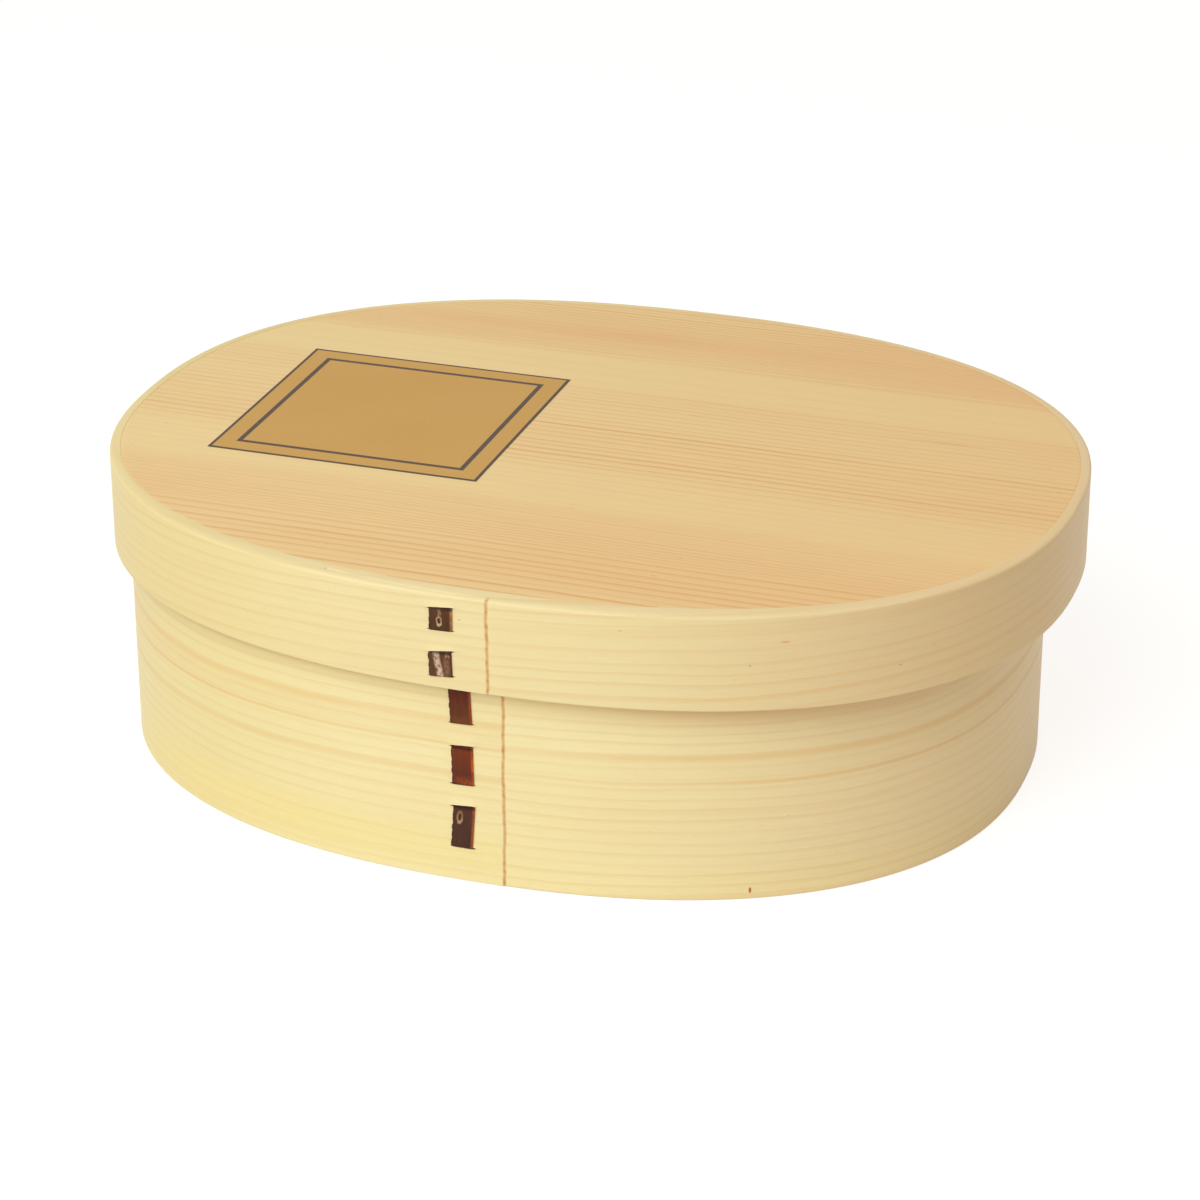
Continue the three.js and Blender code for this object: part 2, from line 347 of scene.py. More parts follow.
class Tone:
    """One value, colour or direction on its way through a finish."""

    def __init__(self, finish, socket):
        self.finish = finish
        self.socket = socket

    def reckon(self, operation, *values):
        return self.finish.node("ShaderNodeMath", {"operation": operation}, dict(enumerate(values)))

    def __add__(self, other):
        return self.reckon("ADD", self, other)

    __radd__ = __add__

    def __sub__(self, other):
        return self.reckon("SUBTRACT", self, other)

    def __rsub__(self, other):
        return self.reckon("SUBTRACT", other, self)

    def __mul__(self, other):
        return self.reckon("MULTIPLY", self, other)

    __rmul__ = __mul__

    def __truediv__(self, other):
        return self.reckon("DIVIDE", self, other)

    def __pow__(self, other):
        return self.reckon("POWER", self, other)

    def floor(self):
        return self.reckon("FLOOR", self)

    def size(self):
        return self.reckon("ABSOLUTE", self)

    def most(self, other):
        return self.reckon("MAXIMUM", self, other)

    def rise(self, low, high):
        """Goes smoothly from 0 at low to 1 at high."""
        inputs = {"Value": self, "From Min": low, "From Max": high}
        return self.finish.node("ShaderNodeMapRange", {"interpolation_type": "SMOOTHSTEP"}, inputs)

    def mound(self, middle, reach):
        """1 at the middle, falling smoothly to 0 at its reach on both sides."""
        return 1 - (self - middle).size().rise(0, reach)


class Finish:
    """The look of a material, or of the studio, drawn up node by node."""

    def __init__(self, owner):
        owner.use_nodes = True
        self.tree = owner.node_tree
        self.tree.nodes.clear()

    def node(self, kind, settings, inputs, output=0):
        made = self.tree.nodes.new(kind)
        for name, value in settings.items():
            if name == "stops":
                elements = made.color_ramp.elements
                while len(elements) < len(value):
                    elements.new(1)
                for i, (position, share) in enumerate(value):
                    elements[i].position = position
                    elements[i].color = (share, share, share, 1)
            else:
                setattr(made, name, value)
        for name, value in inputs.items():
            if isinstance(value, Tone):
                self.tree.links.new(value.socket, made.inputs[name])
            else:
                made.inputs[name].default_value = value
        return Tone(self, made.outputs[output]) if len(made.outputs) else None

    def split(self, direction):
        return [self.node("ShaderNodeSeparateXYZ", {}, {0: direction}, i) for i in range(3)]

    def join(self, x, y, z):
        return self.node("ShaderNodeCombineXYZ", {}, {0: x, 1: y, 2: z})

    def place(self):
        """Where a point of the piece is in the whole box, in millimetres."""
        where = self.node("ShaderNodeTexCoord", {}, {}, "Object")
        scaled = self.node("ShaderNodeVectorMath", {"operation": "SCALE"}, {0: where, 3: MILLIMETRES})
        return self.split(scaled)

    def strip_place(self):
        """Where a point was on its strip before that was bent: along, into and up it, in millimetres."""
        strip = self.node("ShaderNodeAttribute", {"attribute_name": "strip"}, {}, "Vector")
        return self.split(strip)

    def cloud(self, x, y, z, detail=2.0):
        """Smooth noise about 0.5."""
        inputs = {"Vector": self.join(x, y, z), "Scale": 1.0, "Detail": detail}
        return self.node("ShaderNodeTexNoise", {}, inputs)

    def drift(self, value):
        """Smooth noise about 0.5 along one line."""
        inputs = {"W": value, "Scale": 1.0, "Detail": 1.0}
        return self.node("ShaderNodeTexNoise", {"noise_dimensions": "1D"}, inputs)

    def chance(self, number):
        """A fixed random share for each whole number."""
        return self.node("ShaderNodeTexWhiteNoise", {"noise_dimensions": "1D"}, {"W": number})

    def blend(self, share, first, second):
        return self.node("ShaderNodeMix", {"data_type": "RGBA"}, {0: share, 6: first, 7: second}, 2)

    def shade(self, tint, strength):
        """A colour made lighter or darker."""
        return self.node("ShaderNodeVectorMath", {"operation": "SCALE"}, {0: tint, 3: strength})

    def ramp(self, value, stops):
        return self.node("ShaderNodeValToRGB", {"stops": stops}, {0: value})

    def surface(self, tint, roughness, height, depth, sheen):
        """Ends a material: colour, roughness, a relief this many millimetres deep, and how it shines."""
        bump = {"Height": height, "Strength": 1.0, "Distance": depth / MILLIMETRES}
        relief = self.node("ShaderNodeBump", {}, bump)
        inputs = {"Base Color": tint, "Roughness": roughness, "Normal": relief}
        self.end(self.node("ShaderNodeBsdfPrincipled", {}, inputs | sheen))

    def end(self, shader, kind="ShaderNodeOutputMaterial"):
        self.node(kind, {}, {"Surface": shader})


def year_rings(finish, along, rings, faintest):
    """The dark part of each year's growth, where rings counts years across the grain. It darkens softly
    through the season and stops short at the winter. Some years are fainter, and each fades along its
    length."""
    year = rings.floor()
    season = rings - year
    dark = season.rise(0.5, 0.9) * (1 - season.rise(0.91, 1))
    strength = faintest + (1 - faintest) * finish.chance(year)
    patches = finish.cloud(along * 0.013, year * 3.7, 0.5).rise(0.3, 0.7)
    return dark * strength * (0.5 + 0.5 * patches)


def wood_fibres(finish, along, across, up):
    """The fine lengthwise texture that planing leaves, about 0.5."""
    coarse = finish.cloud(along * 0.11, across * 2.4, up * 2.4, 3)
    fine = finish.cloud(along * 0.35, across * 9, up * 9, 2)
    return 0.6 * coarse + 0.4 * fine


def band_wood(name, outline, foot, head, slope, strength, tints, streaks, marks, seed):
    """Pale softwood whose grain runs along a bent strip, or at a slight slope to it. Its tints are the pale
    one, a warmer one that lies in patches, a rosy one from the back round to the right of the seam, which
    is partly the wood's own colour and partly painted shade on the side away from the lamp, and a yellower
    one round the left end. A streak is (level, reach, share, share at the right, tint), and a mark is (run,
    height, half its length, half its height, tint)."""
    material = bpy.data.materials.new(name)
    wood = Finish(material)
    along, into, up = wood.strip_place()
    sway = wood.cloud(along * 0.012, up * 0.03, seed) - 0.5
    ripple = wood.cloud(along * 0.09, up * 0.25, seed + 4) - 0.5
    level = up + slope * along + 0.35 * into + 4 * sway + 0.4 * ripple
    uneven = level + 2 * (wood.drift(level * 0.13 + seed) - 0.5)
    lines = year_rings(wood, along, uneven / BAND_YEAR, 0.45)
    fade = wood.cloud(along * 0.02, level * 0.1, seed + 8).rise(0.25, 0.75)
    warmth = wood.cloud(along * 0.02, up * 0.09, seed + 2).rise(0.3, 0.7)
    # The rosy tint is partly the wood's own colour and partly painted shade: it lies on the side away from
    # the lamp, from the back round to the right of the seam.
    rosy = along.rise(*ROSY_FROM) * (1 - along.rise(outline.round - ROSY_END, outline.round))
    yellow = along.rise(*YELLOW_FROM) * (1 - along.rise(*YELLOW_TO))
    pale, warm, rosy_wood_and_shade_tint, yellow_tint = tints
    tint = wood.blend(warmth * 0.6, pale, warm)
    tint = wood.blend(rosy, tint, rosy_wood_and_shade_tint)
    tint = wood.blend(yellow * 0.7, tint, yellow_tint)
    tint = wood.blend(lines * strength, tint, colour(230, 190, 122))
    right_side = along.rise(outline.round * 0.5, outline.round * 0.7)
    by_seam = along.rise(*[outline.round - before for before in FADE_END])
    fade = (0.55 + 0.45 * fade) * (1 - 0.5 * by_seam)
    for middle, reach, share, at_right, streak_tint in streaks:
        streak = level.mound(middle, reach) * (share + (at_right - share) * right_side)
        tint = wood.blend(streak * fade, tint, streak_tint)
    fibres = wood_fibres(wood, along, into, up)
    tint = wood.shade(tint, 0.935 + 0.13 * fibres)
    flecks = wood.cloud(along * 0.9, into * 3, up * 5, 0).rise(0.8, 0.86)
    tint = wood.blend(flecks * 0.25, tint, colour(201, 150, 92))

    # Glue stains the two edges that meet at the seam, more in knots, and painted shade darkens the walls of
    # the slits
    seam = 1 - along.size().rise(0.12, 0.42)
    seam = seam.most(1 - (along - outline.round).size().rise(0.12, 0.42))
    outside = 1 - into.rise(outline.wall * 0.4, outline.wall * 0.6)
    knots = wood.cloud(seed * 1.0, into, up * 0.6, 3).rise(0.3, 0.7)
    tint = wood.blend(seam * outside * (0.55 + 0.3 * knots), tint, colour(214, 158, 88))
    tint = wood.blend(seam * outside * knots.rise(0.4, 1) * 0.35, tint, colour(188, 118, 58))
    painted_slit_shade = (along - LAP_LENGTH / 3).mound(0, LAP_LENGTH / 3).rise(0, 0.1)
    within = (up - foot).rise(1.5, 2) * (1 - (up - head).rise(-2, -1.5))
    tint = wood.blend(painted_slit_shade * within * into.rise(0.02, 0.12) * 0.9, tint, colour(78, 46, 26))

    # The rims are a little paler, partly rubbed wear and partly a painted highlight on their rounding, and
    # a few small darker marks lie in the wood
    edge = (1 - (up - foot).rise(0.1, 0.6)).most((up - head).rise(-0.9, -0.1))
    tint = wood.blend(edge * 0.15, tint, colour(248, 234, 188))
    for mark_along, mark_up, mark_wide, mark_high, mark_tint in marks:
        wide = ((along - mark_along) / mark_wide) ** 2
        high = ((up - mark_up) / mark_high) ** 2
        spot = 1 - (wide + high).rise(0.35, 1.2)
        tint = wood.blend(spot * (1 - into.rise(0.3, 0.6)), tint, mark_tint)

    # The planed fibres stretch the light's reflection up and down the wall
    sheen = {"Specular IOR Level": 0.3, "Anisotropic": 0.7, "Anisotropic Rotation": 0.25}
    wood.surface(tint, 0.42 + 0.12 * fibres - 0.05 * lines, 0.7 * fibres - 0.3 * lines, 0.04, sheen)
    return material


def slits_through(lacing, shares, leans):
    """The slits' lower and upper edges, two ends and lean, from the lacing threaded through them."""
    low, high = corners(lacing)
    foot = low.z + LACING_HALF
    head = high.z - LACING_HALF
    slits = []
    for i, (share, lean) in enumerate(zip(shares, leans)):
        level = foot + share * (head - foot)
        below, above = (SLIT_NEAR, SLIT_ABOVE) if i % 2 else (SLIT_BELOW, SLIT_NEAR)
        slits.append((level - below, level + above, low.x - SLIT_PLAY, high.x + SLIT_PLAY, lean))
    return slits


body_outline = Outline("body_band", BODY_WALL, BODY_SEAM_X)
body_foot, body_head = corners("body_band")[0].z, corners("body_band")[1].z
body_slits = slits_through("body_bark_lacing", BODY_SLIT_SHARES, BODY_SLIT_LEANS)
body_orange = colour(229, 180, 102)
body_streaks = [
    (28.2, 5, 0.4, 0.2, colour(238, 210, 148)),
    # The second streak is painted shade: a rosy band just below the lid's skirt, where the skirt shades the
    # body.
    (39.5, 5.5, 0.5, 0.75, colour(244, 204, 152)),
    (6, 7, 0.6, 0.2, colour(244, 227, 152)),
    (29.8, 1.1, 0.36, 0.5, body_orange),
    (25.4, 0.6, 0.5, 0.58, body_orange),
    (19.9, 1.0, 0.38, 0.12, body_orange),
    (34.5, 0.7, 0.16, 0.05, body_orange),
    (3.4, 1.2, 0.1, 0.2, body_orange),
]
body_marks = [(body_outline.round - 41.8, 1.7, 0.26, 0.6, colour(196, 104, 48))]
body_tints = [colour(246, 233, 178), colour(245, 228, 170), colour(245, 222, 174), colour(237, 221, 158)]
body_wood = band_wood(
    "body band wood", body_outline, body_foot, body_head, BODY_GRAIN_RISE / body_outline.round,
    BODY_GRAIN_STRENGTH, body_tints, body_streaks, body_marks, seed=3,
)
body_strip = bent_strip(
    body_outline, body_foot, body_head, body_slits, BODY_ROUNDS, body_head - BODY_HEAD_CUT,
    crown=0, seed=1.3,
)
set_down(body_strip, "body_wall", "body_band", "container", body_wood)


# Body bottom
# An oval board of the same softwood, 4.6 mm thick, let into the lower end of the bent wall and glued. Its
# grain runs along the box, and its rims are broken with a plane so that it enters the wall.

BOARD_PLAY = 0.01
BOARD_ARRIS = 0.03
BOARD_INSET = 0.6
BOARD_STEPS = 288
INSIDE_YEAR = 1.9


def oval_board(outline, foot, head):
    """A flat oval board that is glued inside a bent strip."""
    board = bmesh.new()
    bmesh.ops.create_circle(board, cap_ends=True, radius=1, segments=BOARD_STEPS)
    for vert in board.verts:
        run = outline.round * ((math.atan2(vert.co.y, vert.co.x) / (2 * math.pi)) % 1)
        x, y = outline.place(run, outline.wall + outline.extra(run) + BOARD_PLAY)
        vert.co = (x, y, foot)
    grown = bmesh.ops.extrude_face_region(board, geom=list(board.faces))["geom"]
    upper = [item for item in grown if isinstance(item, bmesh.types.BMVert)]
    bmesh.ops.translate(board, vec=(0, 0, head - foot), verts=upper)
    rims = [edge for edge in board.edges if abs(edge.verts[0].co.z - edge.verts[1].co.z) < 0.01]
    bmesh.ops.bevel(
        board, geom=rims, offset=BOARD_ARRIS, offset_type="OFFSET", segments=2,
        profile=0.5, affect="EDGES", material=-1,
    )
    bmesh.ops.recalc_face_normals(board, faces=board.faces)
    flat = [face for face in board.faces if len(face.verts) > 4]
    bmesh.ops.inset_region(board, faces=flat, thickness=BOARD_INSET, use_even_offset=True)
    return board


def inside_wood(name, along_axis, seed):
    """Pale softwood with straight grain along one axis, as planed and left bare."""
    material = bpy.data.materials.new(name)
    wood = Finish(material)
    place = wood.place()
    along = place[along_axis]
    across = place[1 - along_axis]
    up = place[2]
    level = across + 0.02 * along + 0.5 * up + 4 * (wood.cloud(along * 0.012, across * 0.03, seed) - 0.5)
    level = level + 0.5 * (wood.cloud(along * 0.08, across * 0.3, seed + 3) - 0.5)
    uneven = level + 4 * (wood.drift(level * 0.12 + seed) - 0.5)
    lines = year_rings(wood, along, uneven / INSIDE_YEAR, 0.3)
    warmth = wood.cloud(along * 0.008, level * 0.05, seed + 6).rise(0.35, 0.65)
    tint = wood.blend(warmth, colour(240, 220, 168), colour(236, 208, 154))
    tint = wood.blend(lines * 0.8, tint, colour(221, 180, 122))
    fibres = wood_fibres(wood, along, across, up)
    tint = wood.shade(tint, 0.93 + 0.14 * fibres)
    sheen = {"Specular IOR Level": 0.3}
    wood.surface(tint, 0.55 + 0.12 * fibres, 0.7 * fibres - 0.3 * lines, 0.05, sheen)
    return material


base_foot, base_head = corners("base_board")[0].z, corners("base_board")[1].z
base_wood = inside_wood("bottom board wood", along_axis=0, seed=11)
set_down(
    oval_board(body_outline, base_foot, base_head),
    "body_bottom", "base_board", "container", base_wood,
)


# Body stitches
# One strip of polished cherry bark, a quarter of a millimetre thick, threaded in and out through the slits
# in a running stitch, so that three stitches show outside. Its two tails lie inside, in the wall's channel.

BARK_HALF = 0.13
BARK_SEAT = 0.01
BARK_BEND = 0.22
BARK_BEND_STEPS = 8
BARK_TAIL = 0.45
BARK_LENGTH_STEPS = 300
BARK_WIDTH_STEPS = 14
BARK_ARRIS = 0.06
BARK_THINNING = 0.55
BARK_PROBE = 0.05
RAGGED_REACH = 0.8
BODY_STITCH_SHIFTS = [-0.24, 0.3, 0.18, 0.05, 0.0, -0.3]


def thread_line(bends):
    """A line through the points, with each corner turned on the bark's least radius."""
    points = [bends[0]]
    for before, corner, after in zip(bends, bends[1:], bends[2:]):
        into = (corner - before).normalized()
        away = (after - corner).normalized()
        centre = corner - into * BARK_BEND + away * BARK_BEND
        for turn in np.linspace(0, math.pi / 2, BARK_BEND_STEPS + 1):
            back, onward = BARK_BEND * math.cos(turn), BARK_BEND * math.sin(turn)
            points.append(centre - away * back + into * onward)
    return [*points, bends[-1]]


def bark_lacing(lacing, wall_face, wall, slits, shifts, seed):
    """A long thin strip bent along its thread line, each stitch a little askew."""
    low, high = corners(lacing)
    width = high.x - low.x
    levels = [slit[0] + SLIT_NEAR if i % 2 else slit[0] + SLIT_BELOW for i, slit in enumerate(slits)]
    outside = wall_face - BARK_SEAT - BARK_HALF
    inside = wall_face + wall - BARK_HALF
    bends = [Vector((inside, levels[0] + BARK_TAIL * (levels[1] - levels[0])))]
    for i, level in enumerate(levels):
        ways = (inside, outside) if i % 2 == 0 else (outside, inside)
        bends.extend(Vector((way, level)) for way in ways)
    bends.append(Vector((inside, levels[-1] - BARK_TAIL * (levels[-1] - levels[-2]))))
    line = np.array([tuple(point) for point in thread_line(bends)])
    run = np.concatenate(([0], np.cumsum(np.hypot(*np.diff(line, axis=0).T))))

    bark = straight_plank(
        run[-1], 2 * BARK_HALF, -width / 2, width / 2, (BARK_ARRIS,) * 4, BARK_LENGTH_STEPS,
    )
    for level in np.linspace(-width / 2, width / 2, BARK_WIDTH_STEPS + 1)[1:-1]:
        saw(bark, (0, 0, level), (0, 0, 1))
    strip_place = bark.verts.layers.float_vector.new("strip")
    for vert in bark.verts:
        at, depth, side = vert.co
        vert[strip_place] = (at, depth, side)
        ahead = np.array([np.interp(min(at + BARK_PROBE, run[-1]), run, line[:, i]) for i in range(2)])
        behind = np.array([np.interp(max(at - BARK_PROBE, 0), run, line[:, i]) for i in range(2)])
        way = Vector(ahead - behind).normalized()
        y, z = (ahead + behind) / 2
        crown = 1 - BARK_THINNING * abs(2 * side / width) ** 6
        off = (BARK_HALF - depth) * crown
        shift = float(np.interp(z, levels, shifts))
        lean = float(np.interp(z, levels, [slit[4] for slit in slits]))
        waves = 0.07 * math.sin(2.9 * z + seed) * math.sin(0.7 * z)
        nicks = 0.08 * max(0, math.sin(4.7 * z + 2 * seed)) ** 4
        edge = max(0, 1 - (side + width / 2) / RAGGED_REACH) * (waves + nicks)
        vert.co = (
            (low.x + high.x) / 2 + side + shift + edge,
            y - way.y * off,
            z + way.x * off + side * lean,
        )
    bmesh.ops.recalc_face_normals(bark, faces=bark.faces)
    return bark


def cherry_bark(name, lacing, stitches, rings, streaks, seed):
    """Cherry bark, dark red-brown and mottled, each stitch with its own ground and its own cut edge. A
    stitch is (foot, head, ground low down, ground high up, right edge, the edge's strength), a ring is
    (side, level, half its width, half its height, tint), and a streak is (foot, head, side, lean, reach,
    share, tint)."""
    material = bpy.data.materials.new(name)
    bark = Finish(material)
    low, high = corners(lacing)
    half = (high.x - low.x) / 2
    along, _, side = bark.strip_place()
    up = bark.place()[2]
    grain = bark.cloud(side * 1.6, along * 0.22, seed, 4)
    mottle = bark.cloud(side * 0.9, along * 0.5, seed + 3, 3)
    worn = bark.cloud(seed * 2.0, up * 0.9, 1.5, 2).rise(0.3, 0.65)
    right = side.rise(half - 0.55, half - 0.12)
    tint = colour(96, 50, 34)
    for foot, head, lower, upper, edge, strength in stitches:
        here = up.rise(foot - 0.8, foot - 0.4) * (1 - up.rise(head + 0.4, head + 0.8))
        ground = bark.blend(up.rise(foot, head), colour(*lower), colour(*upper))
        ground = bark.shade(ground, 0.66 + 0.6 * grain)
        ground = bark.blend(right * strength * (0.45 + 0.55 * worn), ground, colour(*edge))
        tint = bark.blend(here, tint, ground)
    tint = bark.blend(mottle.rise(0.55, 0.75) * 0.15, tint, colour(120, 64, 42))
    for foot, head, middle, lean, reach, share, shade in streaks:
        here = up.rise(foot - 0.2, foot + 0.5) * (1 - up.rise(head - 1.2, head + 0.3))
        wobble = 0.4 * (bark.cloud(seed * 1.0, up * 0.7, middle) - 0.5)
        line = (side - middle - lean * (up - (foot + head) / 2) + wobble).size()
        patch = bark.cloud(side * 2.5, up * 1.3, seed + 7, 3).rise(0.25, 0.6)
        tint = bark.blend(here * (1 - line.rise(reach * 0.3, reach)) * patch * share, tint, colour(*shade))
    relief = 0.6 * grain
    ragged = bark.cloud(side * 1.7, up * 1.7, seed + 11, 2) - 0.5
    for middle, level, half_wide, half_high, shade in rings:
        reach = (((side - middle) / half_wide) ** 2 + ((up - level) / half_high) ** 2) ** 0.5 + 0.9 * ragged
        low_side = 1 - up.rise(level - half_high, level + half_high)
        ring = reach.mound(0.95, 0.5) * (0.45 + 0.45 * low_side)
        heart = 1 - reach.rise(0.5, 0.9)
        tint = bark.blend(heart * 0.5, tint, colour(78, 44, 28))
        tint = bark.blend(ring, tint, colour(*shade))
        relief = relief + ring * 0.9

    # Painted shade darkens the bark where it folds into the wood under the slits' lips, and along its left
    # edge
    fold_and_edge_shade = 1 - side.rise(-half, -half + 0.25)
    for foot, head, *_ in stitches:
        fold_and_edge_shade = fold_and_edge_shade.most(up.mound(head, 0.55)).most(up.mound(foot - 0.1, 0.36))
    tint = bark.blend(fold_and_edge_shade * 0.8, tint, colour(40, 20, 12))
    bark.surface(tint, 0.3 + 0.25 * mottle, relief, 0.05, {"Specular IOR Level": 0.14})
    return material


body_bark = cherry_bark(
    "body bark", "body_bark_lacing",
    stitches=[
        (6.3, 14.1, (74, 46, 34), (84, 50, 36), (182, 90, 46), 0.9),
        (18.4, 25.3, (94, 44, 30), (118, 54, 26), (192, 92, 34), 1.0),
        (29.6, 37.5, (100, 54, 28), (100, 40, 26), (170, 80, 42), 0.8),
    ],
    rings=[(-0.65, 12.2, 0.46, 1.05, (186, 152, 112))],
    streaks=[
        (28.6, 31.6, 0, 0, 2.5, 0.5, (124, 72, 34)),
        (18.1, 20.2, 0.6, 0, 2.6, 0.7, (160, 76, 34)),
    ],
    seed=5,
)
body_face = corners("body_band")[0].y
set_down(
    bark_lacing("body_bark_lacing", body_face, BODY_WALL, body_slits, BODY_STITCH_SHIFTS, seed=0.4),
    "body_stitches", "body_bark_lacing", "container", body_bark,
)


# Divider
# A loose softwood board 3 mm thick that stands across the body on the bottom board and parts the food. Its
# ends are cut to the wall, its upper corners are rounded, and its arrises are taken off.

DIVIDER_PLAY = 0.4
DIVIDER_CORNER = 6
DIVIDER_CORNER_STEPS = 10
DIVIDER_ARRIS = 0.5


def loose_divider(node, outline):
    """A board across the body, its ends cut to the inside of the bent wall."""
    low, high = corners(node)
    board = bmesh.new()
    bmesh.ops.create_cube(board, size=1)
    bmesh.ops.scale(board, vec=high - low, verts=board.verts)
    bmesh.ops.translate(board, vec=(low + high) / 2, verts=board.verts)
    upper = [edge for edge in lengthwise(board) if edge.verts[0].co.z > (low.z + high.z) / 2]
    bmesh.ops.bevel(
        board, geom=upper, offset=DIVIDER_CORNER, offset_type="OFFSET", segments=DIVIDER_CORNER_STEPS,
        profile=0.5, affect="EDGES", material=-1,
    )
    widest = (high.y - low.y) / 2
    for vert in board.verts:
        x = abs(vert.co.x - outline.middle.x) / (outline.half_length - outline.wall)
        y = (1 - x ** OVAL_POWER) ** (1 / OVAL_POWER)
        reach = (outline.half_width - outline.wall) * y - DIVIDER_PLAY
        from_middle = vert.co.y - outline.middle.y
        if abs(from_middle) > widest - DIVIDER_CORNER - 0.1:
            vert.co.y += math.copysign(1, from_middle) * (reach - widest)
    bmesh.ops.bevel(
        board, geom=list(board.edges), offset=DIVIDER_ARRIS, offset_type="OFFSET", segments=3,
        profile=0.5, affect="EDGES", material=-1, clamp_overlap=True,
    )
    bmesh.ops.recalc_face_normals(board, faces=board.faces)
    return board


divider_wood = inside_wood("divider wood", along_axis=1, seed=29)
set_down(
    loose_divider("divider", body_outline),
    "loose_divider", "divider", "divider", divider_wood,
)


# Lid wall
# A second bent strip, 2 mm thick and 17 mm high, a little larger than the body so that it slips down over
# it, and lapped and sewn like the body's. Beside its board it is thicker at the front, and thinner at the
# ends and back.

LID_WALL = 2
LID_EXTRAS = (1.3, -0.2, -0.5)
LID_CROWN = 0.3
LID_ROUNDS = (0.22, 0.3, 0.5, 0.03)
LID_SEAM_X = 4.05
LID_SLIT_SHARES = [0.032, 0.369, 0.676, 0.98]
LID_SLIT_LEANS = [0.07, 0.14, 0.03, 0.1]
LID_GRAIN_SLOPE = 0.046
LID_GRAIN_STRENGTH = 0.48

lid_outline = Outline("lid_band", LID_WALL, LID_SEAM_X, LID_EXTRAS)
lid_foot, lid_head = corners("lid_band")[0].z, corners("lid_band")[1].z
top_foot = corners("lid_board")[0].z
lid_slits = slits_through("lid_bark_lacing", LID_SLIT_SHARES, LID_SLIT_LEANS)
lid_orange = colour(228, 180, 104)
lid_streaks = [
    (45, 0.6, 0.14, 0, lid_orange),
    (50, 0.7, 0.12, 0, lid_orange),
    (60.8, 0.7, 0, 0.2, lid_orange),
    (72.8, 0.9, 0, 0.2, lid_orange),
]
lid_marks = [
    (lid_outline.run_at(-0.7), 50.0, 0.12, 0.12, colour(150, 100, 64)),
    (lid_outline.round - 22.4, 51.2, 0.34, 0.14, colour(232, 186, 124)),
    (lid_outline.round - 43.6, 45.4, 0.18, 0.16, colour(204, 156, 102)),
    (lid_outline.round - 49.3, 49.4, 0.9, 0.22, colour(232, 184, 120)),
    (lid_outline.round - 69.4, 42.7, 0.4, 0.14, colour(226, 182, 122)),
    (lid_outline.round - 75.8, 45, 0.2, 0.2, colour(228, 188, 134)),
]
lid_tints = [colour(242, 227, 172), colour(241, 222, 164), colour(236, 209, 160), colour(235, 216, 150)]
lid_wood = band_wood(
    "lid band wood", lid_outline, lid_foot, lid_head, LID_GRAIN_SLOPE, LID_GRAIN_STRENGTH,
    lid_tints, lid_streaks, lid_marks, seed=17,
)
lid_strip = bent_strip(
    lid_outline, lid_foot, lid_head, lid_slits, LID_ROUNDS, top_foot, LID_CROWN, seed=4.6,
)
set_down(lid_strip, "lid_wall", "lid_band", "lid", lid_wood)


# Lid board
# An oval board of redder softwood, 4.6 mm thick, let into the top of the lid's wall almost to the rim. It
# is cut near the middle of the log, so that bands of fine, wide and nearly plain grain lie side by side.

BOARD_REACH = 72
BOARD_RECESS = 0.05
BOARD_YEARS = 84
BANDS_HEIGHT = 54


